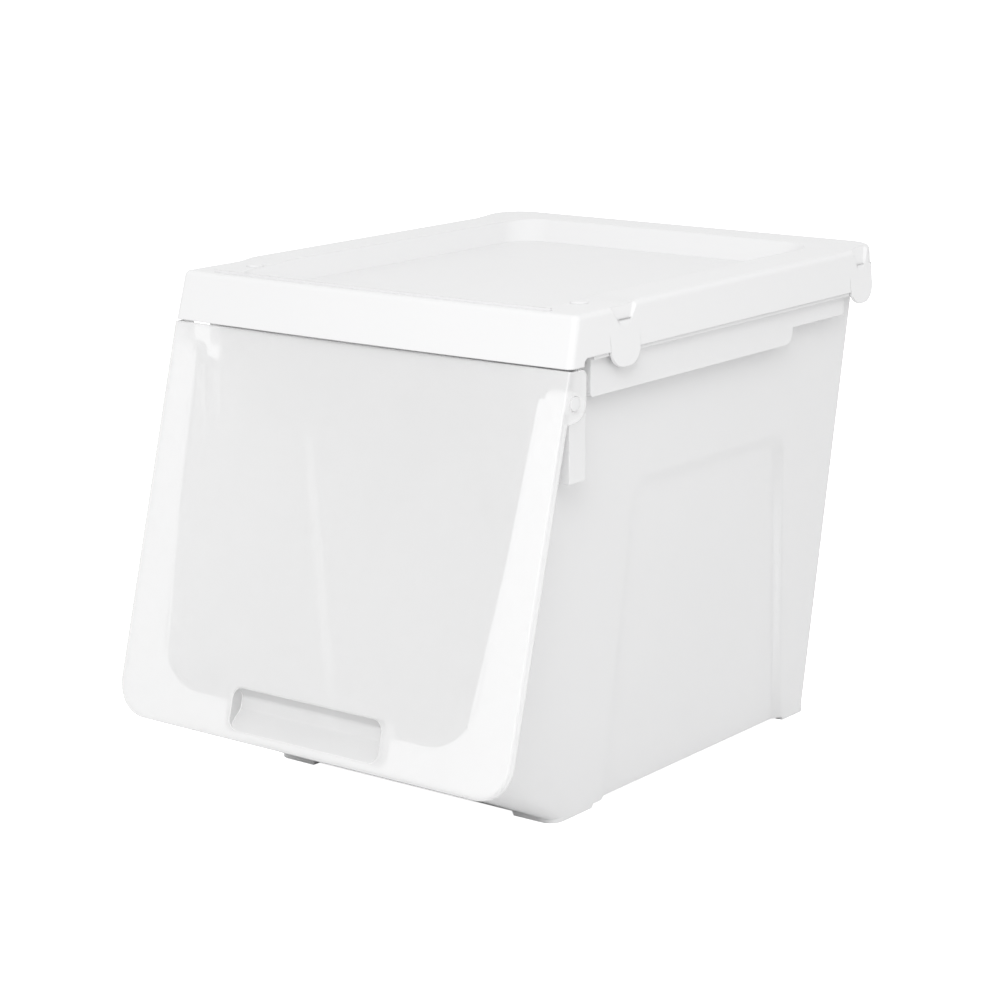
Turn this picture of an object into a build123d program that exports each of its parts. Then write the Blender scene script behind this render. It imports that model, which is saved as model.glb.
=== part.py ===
from build123d import *
import math
import os

# Stackable storage box that opens at the front: a tapered tub, a lift-off lid with a
# stacking tray, and a see-through door that hangs from the tub and swings up and out.
# Millimetres. X is across the box, +Y is its back, +Z is up, and the origin is on the
# ground under the middle of the box.

# Whole box
overall_depth = 458.0
lid_width = 340.0
total_height = 357.0
front_lean = 15.0

# Door
door_foot_z = 54.6
door_top_gap = 0.9
door_wall = 2.0
door_rim_depth = 6.0
door_inset = 0.5
door_corner_radius = 25.0
door_edge_rounding = 1.5

# Finger scoop at the foot of the door
scoop_width = 130.0
scoop_foot = 7.0
scoop_height = 29.0
scoop_depth = 10.0
scoop_ramp_rise = 14.0
scoop_return_rise = 6.0
scoop_round = 3.5
scoop_corner_radius = 8.0

# Hinge
pivot_drop = 21.1
pivot_behind_face = 10.6
peg_radius = 4.7
peg_clearance = 0.3
peg_stand = 0.5
lug_radius = 7.6
ear_radius = 12.6
ear_top_drop = 0.8
ear_corner_radius = 4.5
ear_clearance = 0.8
sweep_clearance = 1.0
sweep_fall = 25.0
post_foot_drop = 52.0
post_top_drop = 8.0
post_front = 2.0
post_back = 15.5
post_wall = 2.0

# Tub
tub_wall = 2.5
mouth_inset = 13.3
mouth_back_inset = 15.0
side_wall_run = 33.0
back_wall_run = 5.5
chin_length = 115.5
chin_foot_radius = 8.0
chin_door_radius = 30.0
chin_corner_lead = 20.0
chin_corner_tail = 60.0
wall_corner_radius = 12.0
upstand_height = 7.0

# Feet, an L at each corner of the tub
foot_height = 3.0
foot_length = 34.0
foot_width = 14.0
front_foot_run = 43.0
foot_corner_radius = 10.0
foot_end_slope = 25.0

# Frame round the front opening, close behind the door
frame_gap = 0.4
frame_thickness = 2.5
frame_rim_clearance = 1.3
frame_above_pivot = 3.0
opening_top_inset = 23.0
opening_foot_inset = 35.0
opening_foot = 26.0
opening_corner_radius = 38.0
dip_side_clearance = 4.0
dip_foot = 5.4
dip_corner_radius = 8.0

# Rim of the tub, with turned-down hand grips
flange_thickness = 2.2
flange_overlap = 0.7
rail_width = 12.0
rail_drop = 9.0
rail_lip = 2.4
grip_inset = 5.8
grip_wall = 2.0
grip_deep_drop = 27.1
grip_shallow_drop = 15.7
grip_front_gap = 1.7
grip_step_margin = 101.0
grip_back_margin = 32.0
grip_step_radius = 8.0
grip_corner_radius = 3.0
back_grip_margin = 52.0
back_grip_inset = 3.0

# Panels pressed into the side walls
panel_depth = 4.0
panel_top_drop = 93.7
panel_front_top_margin = 57.5
panel_front_foot_margin = 53.5
panel_back_top_margin = 77.0
panel_back_foot_margin = 30.5
panel_border = 8.0
panel_corner_radius = 14.0

# Lid, whose rim is highest at the back and lowest at the front
lid_wall = 2.4
lid_seat_gap = 0.3
lid_front_skirt = 36.0
lid_side_skirt = 31.0
lid_side_draft = 1.6
lid_back_draft = 1.5
lid_front_bow = 3.0
lid_front_corner_radius = 5.0
lid_back_corner_radius = 25.0
lid_top_rounding = 4.0
front_rim_drop = 3.0
side_rim_drop = 1.5
front_ramp_setback = 63.0
front_ramp_length = 15.0
back_ramp_setback = 29.0
back_ramp_length = 22.0
skirt_step_setback = 14.6
skirt_step_radius = 4.0

# Stacking tray pressed into the lid
tray_depth = 16.0
tray_side_margin = 36.5
tray_front_margin = 8.0
tray_back_margin = 34.0
tray_side_run = 8.5
tray_back_run = 12.0
tray_front_run = 2.5
tray_corner_radius = 24.0

# Bead along the front of the tray, and two low nubs beside it
bead_half_length = 144.0
bead_setback = 5.9
bead_width = 1.3
bead_height = 1.6
nub_radius = 6.0
nub_height = 1.3
nub_edge_bevel = 1.0
nub_side_margin = 30.5
nub_setback = 50.6

# Round tabs of the lid, which hang outside the rim, and the thumb dishes above them
tab_proud = 1.2
tab_clearance = 0.3
tab_blend_rise = 12.0
tab_foot_radius = 13.0
front_tab_setback = 59.6
front_tab_width = 33.0
front_tab_drop = 11.0
back_tab_setback = 32.5
back_tab_width = 30.0
back_tab_drop = 9.0
dish_foot_drop = 19.0
dish_foot_half_width = 2.5
dish_foot_depth = 0.15
dish_top_depth = 3.4
front_dish_half_width = 19.0
back_dish_half_width = 13.0
dish_reach = 5.0

# Worked out from the sizes above
lean_tangent = math.tan(math.radians(front_lean))
lean_cosine = math.cos(math.radians(front_lean))
lean_sine = math.sin(math.radians(front_lean))
face_foot_y = -overall_depth / 2
lid_back_y = overall_depth / 2
lid_half_width = lid_width / 2
door_half_width = lid_half_width - door_inset
lid_skirt_foot_z = total_height - lid_front_skirt
skirt_side_foot_z = total_height - lid_side_skirt
rim_z = skirt_side_foot_z - lid_seat_gap
door_top_z = lid_skirt_foot_z - door_top_gap
pivot_z = door_top_z - pivot_drop
mouth_half_width = lid_half_width - mouth_inset
floor_half_width = mouth_half_width - side_wall_run
mouth_back_y = lid_back_y - mouth_back_inset
floor_back_y = mouth_back_y - back_wall_run
floor_front_y = face_foot_y + chin_length
door_length = (door_top_z - door_foot_z) / lean_cosine
far = 2 * overall_depth

# The door's outer face: x across, y up the slope, z outwards
door_plane = Plane(
    origin=(0, face_foot_y, door_foot_z),
    x_dir=(1, 0, 0),
    z_dir=(0, -lean_cosine, lean_sine),
)


def face_y(z):
    """Y of the door's outer face at a height."""
    return face_foot_y + (z - door_foot_z) * lean_tangent


def wall_x(z):
    """X of the outside of the tub's side wall at a height."""
    return floor_half_width + side_wall_run * z / rim_z


def back_wall_y(z):
    """Y of the outside of the tub's back wall at a height."""
    return floor_back_y + back_wall_run * z / rim_z


def slope_point(up, depth):
    """Y and Z of a point a way up the door's slope and a depth behind its face."""
    return Vector(
        face_foot_y + up * lean_sine + depth * lean_cosine,
        door_foot_z + up * lean_cosine - depth * lean_sine,
    )


pivot_y = face_y(pivot_z) + pivot_behind_face
door_top_reach = math.hypot(face_y(door_top_z) - pivot_y, door_top_z - pivot_z)
rail_front_y = pivot_y + door_top_reach + sweep_clearance
rail_back_y = rail_front_y + rail_width
ear_inner_x = door_half_width - door_wall
post_x = ear_inner_x - ear_clearance
flange_x = lid_half_width - lid_wall + flange_overlap
flange_back_y = lid_back_y - lid_wall + flange_overlap
flange_foot_z = rim_z - flange_thickness
front_skirt_y = face_y(lid_skirt_foot_z)
frame_near = door_wall + frame_gap
frame_far = frame_near + frame_thickness
frame_foot = door_wall + frame_rim_clearance
frame_top = (pivot_z + frame_above_pivot - door_foot_z) / lean_cosine


def polygon(points):
    """Flat face through the points, in order."""
    return make_face(Polyline(*points, close=True))


def rectangle(from_x, to_x, from_y, to_y):
    """Rectangular face between two values of its x and two of its y."""
    return polygon([(from_x, from_y), (to_x, from_y), (to_x, to_y), (from_x, to_y)])


def side_slab(face, from_x, to_x):
    """Face drawn in Y and Z, as a slab between two X values."""
    return extrude(Plane.YZ.offset(from_x) * face, amount=to_x - from_x)


def slope_slab(face, near, deep):
    """Face drawn on the door's plane, as a slab between two depths behind the door's face."""
    return extrude(door_plane.offset(-deep) * face, amount=deep - near)


def level_slab(face, from_z, to_z):
    """Face drawn in X and Y, as a slab between two heights."""
    return extrude(Plane.XY.offset(from_z) * face, amount=to_z - from_z)


def both_sides(solid):
    """The solid and its mirror image across the middle of the box."""
    return solid + mirror(solid, about=Plane.YZ)


# Door


def door_outline(inset, foot_radius, top):
    """Door's outline on its own plane, rounded at its two lower corners."""
    half_width = door_half_width - inset
    face = rectangle(-half_width, half_width, inset, top)
    return fillet(face.vertices().group_by(Axis.Y)[0], foot_radius)


def scoop_solid(grow):
    """Finger scoop: a ramp up from its foot, a deep part and a short return to the face."""
    half_width = scoop_width / 2 + grow
    foot = scoop_foot - grow
    top = scoop_foot + scoop_height + grow
    depth = scoop_depth + grow
    section = polygon([
        (foot, door_wall),
        (foot, 0),
        (foot + scoop_ramp_rise, -depth),
        (top - scoop_return_rise, -depth),
        (top, 0),
        (top, door_wall),
    ])
    section = fillet(section.vertices().group_by(Axis.Y)[0], scoop_round)
    cross = Plane(origin=door_plane.origin, x_dir=door_plane.y_dir, z_dir=door_plane.x_dir)
    scoop = extrude(cross * section, amount=half_width, both=True)
    ends = rectangle(-half_width, half_width, foot, top)
    ends = fillet(ends.vertices(), scoop_corner_radius)
    return scoop & slope_slab(ends, -door_wall, depth)


def ear_face():
    """Round-ended ear at the top of the door's turned edge, drawn in Y and Z."""
    top_z = door_top_z - ear_top_drop
    upright = rectangle(-overall_depth, pivot_y + ear_radius, pivot_z, top_z)
    corner = upright.vertices().group_by(Axis.Y)[-1].sort_by(Axis.X)[-1]
    upright = fillet(corner, ear_corner_radius)
    root = rectangle(-overall_depth, pivot_y, pivot_z - ear_radius, pivot_z)
    return upright + root + Pos(pivot_y, pivot_z) * Circle(ear_radius)


def make_door():
    """See-through door: a shallow pan with a scoop at its foot and two hinge ears."""
    pan = slope_slab(door_outline(0, door_corner_radius, door_length), 0, door_rim_depth)
    outwards = Axis(door_plane.origin, door_plane.z_dir)
    pan = fillet(pan.faces().sort_by(outwards)[-1].edges(), door_edge_rounding)
    hollow = door_outline(door_wall, door_corner_radius - door_wall, door_length + door_wall)
    pan -= slope_slab(hollow, door_wall, door_rim_depth + door_wall)
    behind_edge = slope_slab(Rectangle(far, far), door_edge_rounding, far)
    ears = both_sides(side_slab(ear_face(), ear_inner_x, door_half_width))
    door = pan + (ears & behind_edge) + (scoop_solid(door_wall) & behind_edge)
    door -= scoop_solid(0)
    hole = Pos(0, pivot_y, pivot_z) * Rot(0, 90, 0) * Cylinder(peg_radius + peg_clearance, far)
    return door - hole


# Tub


def chin_corner(inset):
    """What is cut off the chin's right edge: it leaves a cone, tight at the foot, wide at the door."""
    door_end = slope_point(frame_foot, frame_near)
    foot = Vector(wall_x(foot_height), floor_front_y, foot_height)
    along = Vector(wall_x(door_end.Y), door_end.X, door_end.Y) - foot
    length = along.length
    along = along.normalized()
    side_out = Vector(rim_z, 0, -side_wall_run).normalized()
    chin_out = Vector(0, -along.Z, along.Y).normalized()
    up_side = along.cross(side_out).normalized()
    over_chin = chin_out.cross(along).normalized()
    inwards = (up_side + over_chin).normalized()
    half_angle = math.acos(inwards.dot(up_side))
    to_inset = (side_out + chin_out) * (inset / (1 + side_out.dot(chin_out)))
    faces = []
    for reach in (-chin_corner_lead, length + chin_corner_tail):
        radius = chin_foot_radius + (chin_door_radius - chin_foot_radius) * reach / length - inset
        edge = foot + along * reach - to_inset
        side_end = edge + up_side * (radius / math.tan(half_angle))
        chin_end = edge + over_chin * (radius / math.tan(half_angle))
        middle = edge + inwards * (radius / math.sin(half_angle) - radius)
        clear = wall_corner_radius
        outline = Polyline(
            side_end,
            side_end + side_out * clear,
            edge + (side_out + chin_out) * clear,
            chin_end + chin_out * clear,
            chin_end,
        )
        faces.append(make_face(outline + ThreePointArc(chin_end, middle, side_end)))
    return loft(faces, ruled=True)


def hull(inset, front_reach, top):
    """Tapered block of the tub with its faces moved in, open past its front by the reach."""
    foot = Vector(floor_front_y, foot_height)
    chin_end = slope_point(frame_foot, frame_near)
    chin_end += (chin_end - foot).normalized() * front_reach
    slant_top = chin_end + Vector(lean_tangent, 1) * (top - chin_end.Y)
    profile = polygon([
        (foot.X, foot.Y),
        (chin_end.X, chin_end.Y),
        (slant_top.X, slant_top.Y),
        (back_wall_y(top), top),
        (back_wall_y(foot_height), foot_height),
    ])
    across = polygon([(-wall_x(0), 0), (wall_x(0), 0), (wall_x(top), top), (-wall_x(top), top)])
    if inset:
        profile = offset(profile, -inset, kind=Kind.INTERSECTION)
        across = offset(across, -inset, kind=Kind.INTERSECTION)
    block = side_slab(profile, -lid_width, lid_width)
    block &= extrude(Plane.XZ * across, amount=far, both=True)
    uprights = block.faces().sort_by(Axis.Y)[-1].edges().sort_by(Axis.X)
    block = fillet([uprights[0], uprights[-1]], wall_corner_radius - inset)
    return block - both_sides(chin_corner(inset))


def panel(grow):
    """Panel pressed into the right wall: sloping borders, and it runs out at the foot."""
    taper = math.atan(side_wall_run / rim_z)
    wall_plane = Plane(
        origin=(floor_half_width, 0, 0),
        x_dir=(0, 1, 0),
        z_dir=(math.cos(taper), 0, -math.sin(taper)),
    )
    depth = panel_depth + grow
    panel_top = rim_z - panel_top_drop
    front_foot_y = floor_front_y + panel_front_foot_margin
    front_top_y = floor_front_y + panel_front_top_margin
    back_foot_y = floor_back_y - panel_back_foot_margin
    back_top_y = floor_back_y - panel_back_top_margin
    faces = []
    for out, shrink in ((grow + panel_depth, -panel_border), (-depth, panel_border)):
        shift = grow - shrink
        outline = polygon([
            (front_foot_y - shift, -foot_length),
            (back_foot_y + shift, -foot_length),
            (back_top_y + shift, panel_top + shift),
            (front_top_y - shift, panel_top + shift),
        ])
        top_corners = outline.vertices().group_by(Axis.Y)[-1]
        faces.append(wall_plane.offset(out) * fillet(top_corners, panel_corner_radius))
    return loft(faces, ruled=True)


def feet():
    """Foot under each corner of the floor, an L in plan, which follows the tub's walls."""
    plans = []
    for z in (0, foot_height):
        plan = rectangle(-wall_x(z), wall_x(z), floor_front_y, back_wall_y(z))
        plans.append(Plane.XY.offset(z) * fillet(plan.vertices(), foot_corner_radius))
    inner_x = floor_half_width - foot_width
    gaps = rectangle(-inner_x, inner_x, floor_front_y + foot_width, floor_back_y - foot_width)
    end_x = floor_half_width - foot_length
    gaps += rectangle(-end_x, end_x, face_foot_y, lid_back_y)
    front_end_y = floor_front_y + front_foot_run
    gaps += rectangle(-lid_half_width, lid_half_width, front_end_y, floor_back_y - foot_length)
    return loft(plans, ruled=True) - extrude(gaps, amount=foot_height, taper=foot_end_slope)


def front_frame():
    """Flat frame that the door closes on, dipped in the middle to pass the scoop."""
    half_width = door_half_width - door_wall - frame_rim_clearance
    outline = rectangle(-half_width, half_width, frame_foot, frame_top)
    radius = door_corner_radius - door_wall - frame_rim_clearance
    outline = fillet(outline.vertices().group_by(Axis.Y)[0], radius)
    foot_half_width = lid_half_width - opening_foot_inset
    top_half_width = lid_half_width - opening_top_inset
    opening = polygon([
        (-foot_half_width, opening_foot),
        (foot_half_width, opening_foot),
        (top_half_width, frame_top),
        (-top_half_width, frame_top),
    ])
    opening = fillet(opening.vertices().group_by(Axis.Y)[0], opening_corner_radius)
    dip_half_width = scoop_width / 2 + door_wall + dip_side_clearance
    dip = rectangle(-dip_half_width, dip_half_width, dip_foot, opening_foot + dip_foot)
    dip = fillet(dip.vertices().group_by(Axis.Y)[0], dip_corner_radius)
    return slope_slab(outline - opening - dip, frame_near, frame_far)


def door_sweep():
    """Space that the top of the door swings through, cut out of the tub's front corners."""
    reach = rail_front_y - pivot_y
    fall = math.radians(sweep_fall)
    return side_slab(
        polygon([
            (-far, pivot_z + frame_above_pivot),
            (pivot_y, pivot_z + frame_above_pivot),
            (pivot_y, pivot_z),
            (pivot_y + reach * math.cos(fall), pivot_z - reach * math.sin(fall)),
            (rail_front_y, pivot_z),
            (rail_front_y, far),
            (-far, far),
        ]),
        -lid_width,
        lid_width,
    )


def hinge_side():
    """Right hinge of the tub: a lug with a peg for the door's ear, on a hollow post."""
    root_x = wall_x(pivot_z) - tub_wall
    across = Pos(0, pivot_y, pivot_z) * Rot(0, 90, 0)
    lug_length = post_x - root_x
    lug = Pos(root_x + lug_length / 2, 0, 0) * across * Cylinder(lug_radius, lug_length)
    peg_length = door_half_width + peg_stand - root_x
    peg = Pos(root_x + peg_length / 2, 0, 0) * across * Cylinder(peg_radius, peg_length)
    foot_z = pivot_z - post_foot_drop
    top_z = pivot_z - post_top_drop
    front_y = pivot_y - post_front
    back_y = pivot_y + post_back
    post = side_slab(rectangle(front_y, back_y, foot_z, top_z), wall_x(foot_z) - tub_wall, post_x)
    hollow = rectangle(front_y + post_wall, back_y - post_wall, foot_z - post_wall, top_z - post_wall)
    post -= side_slab(hollow, wall_x(foot_z) - tub_wall, post_x - post_wall)
    return lug + peg + post


def mouth(inset):
    """Outline of the tub's mouth behind the front rail, moved in."""
    half_width = mouth_half_width - inset
    face = rectangle(-half_width, half_width, rail_back_y - tub_wall + inset, mouth_back_y - inset)
    return fillet(face.vertices().group_by(Axis.Y)[-1], wall_corner_radius - inset)


def rim():
    """Flat flange round the top, its front rail, and the upstand that centres the lid."""
    flange = rectangle(-flange_x, flange_x, rail_front_y, flange_back_y)
    radius = lid_back_corner_radius - lid_wall
    flange = fillet(flange.vertices().group_by(Axis.Y)[-1], radius)
    ring = level_slab(flange - mouth(tub_wall), flange_foot_z, rim_z)
    ring += level_slab(mouth(0) - mouth(tub_wall), rim_z, rim_z + upstand_height)
    half_width = mouth_half_width - tub_wall
    lip = rectangle(-half_width, half_width, rail_front_y, rail_front_y + rail_lip)
    return ring + level_slab(lip, rim_z - rail_drop, rim_z)


def side_grip():
    """Right hand grip: a turned-down edge, deeper along the front, closed at its ends."""
    deep_z = rim_z - grip_deep_drop
    shallow_z = rim_z - grip_shallow_drop
    front_y = rail_front_y + grip_front_gap
    step_y = mouth_back_y - grip_step_margin
    back_y = mouth_back_y - grip_back_margin
    face = polygon([
        (front_y, deep_z),
        (step_y, deep_z),
        (step_y, shallow_z),
        (back_y, shallow_z),
        (back_y, rim_z),
        (front_y, rim_z),
    ])
    deep_corners = face.vertices().group_by(Axis.Y)[0].sort_by(Axis.X)
    face = fillet(deep_corners[-1], grip_step_radius)
    front_corner = face.vertices().group_by(Axis.Y)[0].sort_by(Axis.X)[0]
    face = fillet(front_corner, grip_corner_radius)
    outer_x = lid_half_width - grip_inset
    block = side_slab(face, wall_x(deep_z) - tub_wall / 2, outer_x)
    inner = offset(face, -grip_wall, kind=Kind.INTERSECTION)
    room = inner + Pos(0, -grip_wall) * inner + Pos(0, -2 * grip_wall) * inner
    return block - side_slab(room, 0, outer_x - grip_wall)


def back_grip():
    """Turned-down edge along the back of the rim, closed at its ends."""
    foot_z = rim_z - grip_shallow_drop
    half_length = lid_half_width - back_grip_margin
    root_y = mouth_back_y - tub_wall / 2
    outer_y = flange_back_y - back_grip_inset
    grip = level_slab(rectangle(-half_length, half_length, root_y, outer_y), foot_z, rim_z)
    inner = half_length - grip_wall
    room = rectangle(-inner, inner, root_y, outer_y - grip_wall)
    return grip - level_slab(room, foot_z - grip_wall, flange_foot_z)


def make_tub():
    """Moulded tub, from its outer block, its cavity and what stands out from its walls."""
    body = hull(0, 0, rim_z) + feet() - both_sides(panel(0))
    cavity = hull(tub_wall, rail_width, rim_z + rail_width) - both_sides(panel(tub_wall))
    tub = body - cavity + front_frame() - door_sweep()
    tub += rim() + back_grip() + both_sides(side_grip() + hinge_side())
    return tub


# Lid


def bowed_plan(half_width, front_y, back_y):
    """Plan with a front edge bowed like the lid's, which meets the front Y at the lid's sides."""
    middle_y = front_y - lid_front_bow
    end_y = middle_y + lid_front_bow * (half_width / lid_half_width) ** 2
    edge = Line((half_width, end_y), (half_width, back_y))
    edge += Line((half_width, back_y), (-half_width, back_y))
    edge += Line((-half_width, back_y), (-half_width, end_y))
    edge += ThreePointArc((-half_width, end_y), (0, middle_y), (half_width, end_y))
    return make_face(edge)


def lid_side_x(z):
    """X of the outside of the lid's side at a height."""
    return lid_half_width - lid_side_draft * (z - lid_skirt_foot_z) / lid_front_skirt


def lid_outline(z, inset):
    """Plan of the lid at a height: a bowed front, tight front corners, round back corners."""
    rise = (z - lid_skirt_foot_z) / lid_front_skirt
    back_y = lid_back_y - lid_back_draft * rise - inset
    face = bowed_plan(lid_side_x(z) - inset, face_y(z) + inset / lean_cosine, back_y)
    face = fillet(face.vertices().group_by(Axis.Y)[-1], lid_back_corner_radius - inset)
    front = face.vertices().sort_by(Axis.Y)[:2]
    return fillet(front, lid_front_corner_radius - inset)


def lid_band(inset, rim, from_y, to_y):
    """Part of the lid's block between two Y values, with a rounded edge at one rim height."""
    foot_z = lid_skirt_foot_z - inset
    faces = [Plane.XY.offset(z) * lid_outline(z, inset) for z in (foot_z, rim - inset)]
    block = loft(faces, ruled=True)
    block = fillet(block.faces().sort_by(Axis.Z)[-1].edges(), lid_top_rounding - inset)
    return block & side_slab(rectangle(from_y, to_y, 0, far), -far, far)


def lid_block(inset):
    """Whole lid without its hollows, its faces moved in: its rim climbs towards the back."""
    front_end = front_skirt_y + front_ramp_setback
    back_start = lid_back_y - back_ramp_setback
    bands = [
        lid_band(inset, total_height - front_rim_drop, -far, front_end),
        lid_band(
            inset,
            total_height - side_rim_drop,
            front_end + front_ramp_length,
            back_start - back_ramp_length,
        ),
        lid_band(inset, total_height, back_start, far),
    ]
    block = bands[0]
    for nearer, farther in zip(bands, bands[1:]):
        ends = (nearer.faces().sort_by(Axis.Y)[-1], farther.faces().sort_by(Axis.Y)[0])
        block += loft(ends, ruled=True) + farther
    return block


def tray(grow):
    """Hollow of the stacking tray, grown to give the outside of its walls."""
    faces = []
    for z in (total_height - tray_depth - grow, total_height + lid_wall):
        narrow = (total_height - z) / tray_depth
        half_width = lid_half_width - tray_side_margin - tray_side_run * narrow + grow
        front_y = face_y(total_height) + tray_front_margin + tray_front_run * narrow - grow
        back_y = lid_back_y - tray_back_margin - tray_back_run * narrow + grow
        outline = bowed_plan(half_width, front_y, back_y)
        outline = fillet(outline.vertices(), tray_corner_radius)
        faces.append(Plane.XY.offset(z) * outline)
    return loft(faces, ruled=True)


def bead():
    """Fine raised line along the front edge of the tray."""
    rim = total_height - front_rim_drop
    front_y = face_y(rim) + bead_setback
    line = bowed_plan(bead_half_length, front_y, front_y + tray_front_margin)
    line -= bowed_plan(lid_half_width, front_y + bead_width, front_y + tray_depth)
    return level_slab(line, rim - lid_wall / 2, rim + bead_height)


def nub():
    """Low round nub on the right of the rim, beside the front of the tray."""
    seat = total_height - front_rim_drop
    x = lid_half_width - nub_side_margin
    button = Pos(x, front_skirt_y + nub_setback, seat) * Cylinder(nub_radius, 2 * nub_height)
    return chamfer(button.faces().sort_by(Axis.Z)[-1].edges(), nub_edge_bevel)


def skirt_cut():
    """What is cut away under the side and back skirts, behind the taller front skirt."""
    face = rectangle(front_skirt_y + skirt_step_setback, far, 0, skirt_side_foot_z)
    corner = face.vertices().group_by(Axis.Y)[-1].sort_by(Axis.X)[0]
    return side_slab(fillet(corner, skirt_step_radius), -far, far)


def tab(middle_y, width, drop):
    """Round tab that hangs below the right skirt, its face leaning in to run out on the skirt."""
    foot_z = skirt_side_foot_z - drop
    blend_z = skirt_side_foot_z + tab_blend_rise
    inner_x = flange_x + tab_clearance
    foot_x = lid_half_width + tab_proud
    lean = (foot_x - lid_side_x(blend_z)) / (blend_z - foot_z)
    top_z = foot_z + (foot_x - inner_x) / lean
    face = rectangle(middle_y - width / 2, middle_y + width / 2, foot_z, top_z)
    face = fillet(face.vertices().group_by(Axis.Y)[0], tab_foot_radius)
    wedge = polygon([(inner_x, foot_z), (foot_x, foot_z), (inner_x, top_z)])
    return side_slab(face, inner_x, foot_x) & extrude(Plane.XZ * wedge, amount=far, both=True)


def thumb_dish(middle_y, top_half_width, grow):
    """Dish pressed into the right skirt above a tab: narrow at its foot, wide and deep at the rim."""
    foot = (total_height - dish_foot_drop - grow, dish_foot_half_width, dish_foot_depth)
    top = (total_height + lid_wall, top_half_width, dish_top_depth)
    faces = []
    for z, half_width, depth in (foot, top):
        floor_x = lid_side_x(z) - depth - grow
        mouth_x = lid_side_x(z) + dish_reach
        floor_y = half_width - depth + grow * math.tan(math.radians(22.5))
        mouth_y = half_width + dish_reach + grow * math.sqrt(2)
        face = polygon([(floor_x, -floor_y), (mouth_x, -mouth_y), (mouth_x, mouth_y), (floor_x, floor_y)])
        faces.append(Pos(0, middle_y, z) * face)
    return loft(faces, ruled=True)


def make_lid():
    """Moulded lid: skirts all round, a stacking tray in its top, four tabs and thumb dishes."""
    front_tab_y = front_skirt_y + front_tab_setback
    back_tab_y = lid_back_y - back_tab_setback
    hollows = tray(0)
    walls = tray(lid_wall)
    for middle_y, half_width in ((front_tab_y, front_dish_half_width), (back_tab_y, back_dish_half_width)):
        hollows += both_sides(thumb_dish(middle_y, half_width, 0))
        walls += both_sides(thumb_dish(middle_y, half_width, lid_wall))
    lid = lid_block(0) - skirt_cut() - hollows - (lid_block(lid_wall) - walls)
    lid += bead() + both_sides(nub())
    lid += both_sides(tab(front_tab_y, front_tab_width, front_tab_drop))
    lid += both_sides(tab(back_tab_y, back_tab_width, back_tab_drop))
    return lid


os.makedirs("parts", exist_ok=True)
nodes = {"tub": make_tub(), "lid": make_lid(), "front_door": make_door()}
for name, node in nodes.items():
    export_step(node, f"parts/{name}.step")
    size = node.bounding_box().size
    print(name, len(node.solids()), round(node.volume), [round(v, 2) for v in size])
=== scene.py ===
import math

import bmesh
import bpy
from mathutils import Matrix, Vector


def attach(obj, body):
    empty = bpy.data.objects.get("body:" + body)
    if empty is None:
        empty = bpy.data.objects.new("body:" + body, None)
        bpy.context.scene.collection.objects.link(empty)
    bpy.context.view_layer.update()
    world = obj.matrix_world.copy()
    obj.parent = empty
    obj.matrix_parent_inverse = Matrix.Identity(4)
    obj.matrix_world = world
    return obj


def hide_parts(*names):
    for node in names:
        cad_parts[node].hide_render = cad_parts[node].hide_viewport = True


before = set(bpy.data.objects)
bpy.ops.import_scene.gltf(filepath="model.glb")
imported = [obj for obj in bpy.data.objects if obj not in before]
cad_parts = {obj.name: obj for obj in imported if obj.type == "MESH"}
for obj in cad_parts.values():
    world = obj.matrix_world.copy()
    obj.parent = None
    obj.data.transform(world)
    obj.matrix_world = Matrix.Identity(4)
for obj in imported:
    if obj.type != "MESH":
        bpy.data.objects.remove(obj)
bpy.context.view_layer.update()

# The view
# The box stands with its door to the left and its right side to the right, seen from a little
# above and from a good two metres away, so the upright edges stay nearly parallel.
view_place = Vector((1.17335, -1.5340, 0.63777))
view_turn = math.radians(37.591)
view_dip = math.radians(13.187)
view_tilt = math.radians(-0.3695)
focal_length = 2787.68
picture_width = 1000

level_right = Vector((math.cos(view_turn), math.sin(view_turn), 0))
level_ahead = Vector((-math.sin(view_turn), math.cos(view_turn), 0))
ahead = math.cos(view_dip) * level_ahead - math.sin(view_dip) * Vector((0, 0, 1))
level_up = level_right.cross(ahead)
view_right = math.cos(view_tilt) * level_right + math.sin(view_tilt) * level_up
view_up = math.cos(view_tilt) * level_up - math.sin(view_tilt) * level_right

lens = bpy.data.cameras.new("product_camera")
lens.sensor_width = 36
lens.lens = focal_length / picture_width * lens.sensor_width
lens.clip_end = 50
camera = bpy.data.objects.new("product_camera", lens)
bpy.context.scene.collection.objects.link(camera)
facing = Matrix((view_right, view_up, -ahead)).transposed().to_4x4()
camera.matrix_world = Matrix.Translation(view_place) @ facing
bpy.context.scene.camera = camera

# The tub
# A tapered box of white polypropylene, injection moulded in one piece with its floor, feet,
# hand grips and hinge pegs. The mould leaves a fine satin grain and slightly eased edges.
smooth_angle = math.radians(30)
flat_angle = math.radians(0.4)
merge_distance = 2e-6


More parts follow.
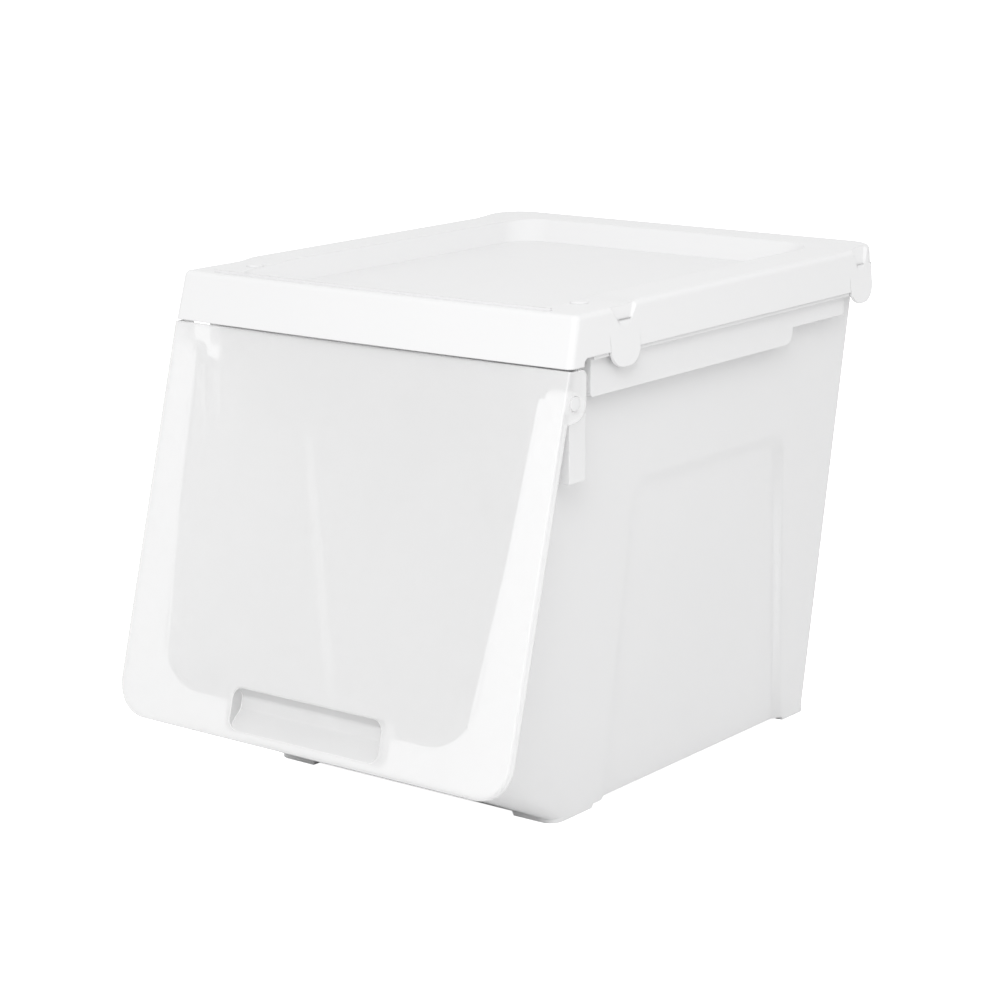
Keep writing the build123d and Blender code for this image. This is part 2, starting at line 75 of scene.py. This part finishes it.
def moulding(name, node, body):
    """Own copy of a packed moulding, its corners merged and its curves smooth beside true flats."""
    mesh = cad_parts[node].data.copy()
    mesh.name = name
    if "custom_normal" in mesh.attributes:
        mesh.attributes.remove(mesh.attributes["custom_normal"])
    shape = bmesh.new()
    shape.from_mesh(mesh)
    bmesh.ops.remove_doubles(shape, verts=shape.verts, dist=merge_distance)
    bmesh.ops.dissolve_limit(shape, angle_limit=flat_angle, verts=shape.verts, edges=shape.edges)
    for face in shape.faces:
        face.smooth = True
    for edge in shape.edges:
        edge.smooth = edge.is_manifold and edge.calc_face_angle() < smooth_angle
    shape.to_mesh(mesh)
    shape.free()
    mesh.materials.clear()
    piece = bpy.data.objects.new(name, mesh)
    bpy.context.scene.collection.objects.link(piece)
    flats = piece.modifiers.new("true flats", "WEIGHTED_NORMAL")
    flats.mode = "FACE_AREA"
    flats.weight = 100
    flats.keep_sharp = True
    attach(piece, body)
    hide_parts(node)
    return piece


class Signal:
    """A socket in a material; sums and products of signals add the Math nodes that give them."""

    def __init__(self, tree, socket=None):
        self.tree = tree
        self.socket = socket

    def node(self, kind, settings=None, sockets=None, output=0):
        """Adds a node: its settings first, then the values or signals of its sockets."""
        node = self.tree.nodes.new(kind)
        for name, value in (settings or {}).items():
            setattr(node, name, value)
        for name, value in (sockets or {}).items():
            if isinstance(value, Signal):
                self.tree.links.new(value.socket, node.inputs[name])
            else:
                node.inputs[name].default_value = value
        return Signal(self.tree, node.outputs[output] if node.outputs else None)

    def maths(self, operation, first, second):
        return self.node("ShaderNodeMath", {"operation": operation}, {0: first, 1: second})

    def __add__(self, other):
        return self.maths("ADD", self, other)

    __radd__ = __add__

    def __mul__(self, other):
        return self.maths("MULTIPLY", self, other)

    __rmul__ = __mul__

    def __sub__(self, other):
        return self.maths("SUBTRACT", self, other)

    def __rsub__(self, other):
        return self.maths("SUBTRACT", other, self)


def blank_material(name):
    """New material without nodes, and the signal that its nodes start from."""
    material = bpy.data.materials.new(name)
    material.use_nodes = True
    material.node_tree.nodes.clear()
    return material, Signal(material.node_tree)


def noise(start, place, scale, detail):
    return start.node("ShaderNodeTexNoise", {}, {"Vector": place, "Scale": scale, "Detail": detail})


def blend(start, share, first, second):
    """Colour that goes from the first to the second as the share goes from zero to one."""
    return start.node("ShaderNodeMix", {"data_type": "RGBA"}, {0: share, 6: first, 7: second}, output=2)


def eased_edges(start, radius):
    """Normal that runs round each edge, and a mask of the strip that it bends."""
    mask_gain = 6.0
    eased = start.node("ShaderNodeBevel", {"samples": 6}, {"Radius": radius})
    surface = start.node("ShaderNodeNewGeometry", output="Normal")
    settings = {"operation": "DOT_PRODUCT"}
    along = start.node("ShaderNodeVectorMath", settings, {0: eased, 1: surface}, "Value")
    return eased, (1 - along) * mask_gain


def satin_plastic(name, light, dark, edge, gloss, grain, easing, glow):
    """White moulded plastic: faint clouds of shade, a satin gloss, and a painted highlight along the
    edges, which are also a touch glossier.
    """
    material, start = blank_material(name)
    place = start.node("ShaderNodeTexCoord", output="Object")
    gloss_spread = 0.08
    gloss_of_rubbing = 0.06
    glow_depth = 0.005
    clouds = noise(start, place, scale=9.0, detail=3.0)
    flow = noise(start, place, scale=60.0, detail=2.0)
    sparks = noise(start, place, scale=1900.0, detail=2.0)
    eased, edge_highlight_and_polish = eased_edges(start, easing)
    mottled = blend(start, clouds * 0.7 + flow * 0.3, dark, light)
    # The edge colour is a painted highlight, laid on the strip that the eased normal bends round each
    # edge.
    shade = blend(start, edge_highlight_and_polish, mottled, edge)
    bump = start.node(
        "ShaderNodeBump",
        {},
        {"Strength": 0.12, "Distance": grain, "Height": sparks + flow * 2.0, "Normal": eased},
    )
    shader = start.node(
        "ShaderNodeBsdfPrincipled",
        {},
        {
            "Base Color": shade,
            "Roughness": gloss + (flow - 0.5) * gloss_spread - edge_highlight_and_polish * gloss_of_rubbing,
            "Normal": bump,
            "IOR": 1.49,
            "Subsurface Weight": glow,
            "Subsurface Radius": (1.0, 1.0, 1.0),
            "Subsurface Scale": glow_depth,
        },
    )
    start.node("ShaderNodeOutputMaterial", {}, {"Surface": shader})
    return material


tub = moulding("tub_moulding", "tub", "tub")
tub.data.materials.append(
    satin_plastic(
        "satin_white_tub",
        light=(0.78, 0.78, 0.783, 1),
        dark=(0.76, 0.76, 0.763, 1),
        # Painted highlight along the tub's eased edges.
        edge=(0.90, 0.90, 0.902, 1),
        gloss=0.42,
        grain=0.00002,
        easing=0.0008,
        glow=0.2,
    )
)

# The lid
# The loose lid is a second white moulding with a sunk tray that takes the feet of a box
# stacked on it. It is a touch glossier and whiter than the tub, as its mould is polished.
lid = moulding("lid_moulding", "lid", "lid")
lid.data.materials.append(
    satin_plastic(
        "satin_white_lid",
        light=(0.80, 0.80, 0.803, 1),
        dark=(0.785, 0.785, 0.788, 1),
        # Painted highlight along the lid's eased edges.
        edge=(0.84, 0.84, 0.842, 1),
        gloss=0.36,
        grain=0.000015,
        easing=0.0012,
        glow=0.0,
    )
)

# The front door
# A thin door of frosted see-through plastic with a finger scoop near its foot. It is clipped
# on the tub's two pegs by the ears at its top and lets the inside show as a soft shade.


def frosted_plastic(name, tint, edge, gloss, cover, light_veil, easing):
    """Milky see-through plastic, frosted by its mould's fine grain, denser along its edges and painted
    white there as a highlight.

    The viewer meets the full cover. Light on its way inside meets only the light veil, which
    stands in for the light that frosted plastic scatters onwards.
    """
    material, start = blank_material(name)
    place = start.node("ShaderNodeTexCoord", output="Object")
    rim_cover = 0.95
    cover_spread = 0.03
    gloss_spread = 0.06
    grain = 0.00002
    clouds = noise(start, place, scale=12.0, detail=3.0)
    sparks = noise(start, place, scale=1500.0, detail=2.0)
    eased, rim = eased_edges(start, easing)
    rim_density_and_highlight = start.node("ShaderNodeClamp", {}, {"Value": rim})
    # The edge colour is a painted highlight along the rim, where the plastic also grows denser.
    shade = blend(start, rim_density_and_highlight, tint, edge)
    veil = cover + (clouds - 0.5) * cover_spread + rim_density_and_highlight * (rim_cover - cover)
    looked_at = start.node("ShaderNodeLightPath", output="Is Camera Ray")
    bump = start.node(
        "ShaderNodeBump", {}, {"Strength": 0.1, "Distance": grain, "Height": sparks, "Normal": eased}
    )
    shader = start.node(
        "ShaderNodeBsdfPrincipled",
        {},
        {
            "Base Color": shade,
            "Roughness": gloss + (clouds - 0.5) * gloss_spread,
            "Alpha": looked_at * (veil - light_veil) + light_veil,
            "Normal": bump,
            "IOR": 1.45,
        },
    )
    start.node("ShaderNodeOutputMaterial", {}, {"Surface": shader})
    return material


front_door = moulding("door_moulding", "front_door", "front_door")
front_door.data.materials.append(
    frosted_plastic(
        "frosted_door",
        tint=(0.88, 0.88, 0.882, 1),
        # Painted highlight along the door's rim.
        edge=(1.0, 1.0, 1.0, 1),
        gloss=0.34,
        cover=0.53,
        light_veil=0.2,
        easing=0.0012,
    )
)

# The studio
# A wide white table under an even white sky, lit from beside the viewer by a large soft lamp.
# A narrow lamp low down draws the fine bright lines along the edges. The table and the sky
# show as pure white to the viewer, as in a cut-out product photo, but are dimmer to the box.
table_half = 40.0
sky_light = 0.89
sky_seen = 1.05
table_glow_seen = 0.95
lamp_target = Vector((0, 0, 0.18))


def straight_view(start):
    """One where nothing lies between the viewer and the studio, and zero seen through the door."""
    is_seen = start.node("ShaderNodeLightPath", output="Is Camera Ray")
    layers = start.node("ShaderNodeLightPath", output="Transparent Depth")
    return is_seen * start.maths("LESS_THAN", layers, 0.5)


table_mesh = bmesh.new()
bmesh.ops.create_grid(table_mesh, x_segments=8, y_segments=8, size=table_half)
table_data = bpy.data.meshes.new("table")
table_mesh.to_mesh(table_data)
table_mesh.free()
table = bpy.data.objects.new("table", table_data)
bpy.context.scene.collection.objects.link(table)
table_paint, paint = blank_material("white_table")
seen = straight_view(paint)
matt_white = paint.node(
    "ShaderNodeBsdfPrincipled",
    {},
    {
        "Base Color": (0.88, 0.88, 0.88, 1),
        "Roughness": 0.9,
        "Specular IOR Level": 0.0,
        "Emission Color": seen * table_glow_seen,
        "Emission Strength": 1.0,
    },
)
paint.node("ShaderNodeOutputMaterial", {}, {"Surface": matt_white})
table_data.materials.append(table_paint)

sky = bpy.data.worlds.new("white_sky")
sky.use_nodes = True
air = Signal(sky.node_tree)
air.tree.nodes.clear()
seen = straight_view(air)
glow = air.node(
    "ShaderNodeBackground",
    {},
    {"Color": seen * (sky_seen - sky_light) + sky_light, "Strength": 1.0},
)
air.node("ShaderNodeOutputWorld", {}, {"Surface": glow})
bpy.context.scene.world = sky


def softbox(name, place, width, height, power):
    """Soft lamp that faces the middle of the box."""
    lamp = bpy.data.lights.new(name, "AREA")
    lamp.shape = "RECTANGLE"
    lamp.size = width
    lamp.size_y = height
    lamp.energy = power
    holder = bpy.data.objects.new(name, lamp)
    bpy.context.scene.collection.objects.link(holder)
    towards = lamp_target - Vector(place)
    turn = towards.to_track_quat("-Z", "Y").to_matrix().to_4x4()
    holder.matrix_world = Matrix.Translation(place) @ turn


softbox("softbox_over_viewer", (1.34, -1.99, 1.99), 1.3, 1.3, 27.5)
softbox("strip_beside_viewer", (1.75, -1.75, 0.5), 0.15, 1.2, 1.2)

bpy.context.scene.view_settings.view_transform = "Standard"
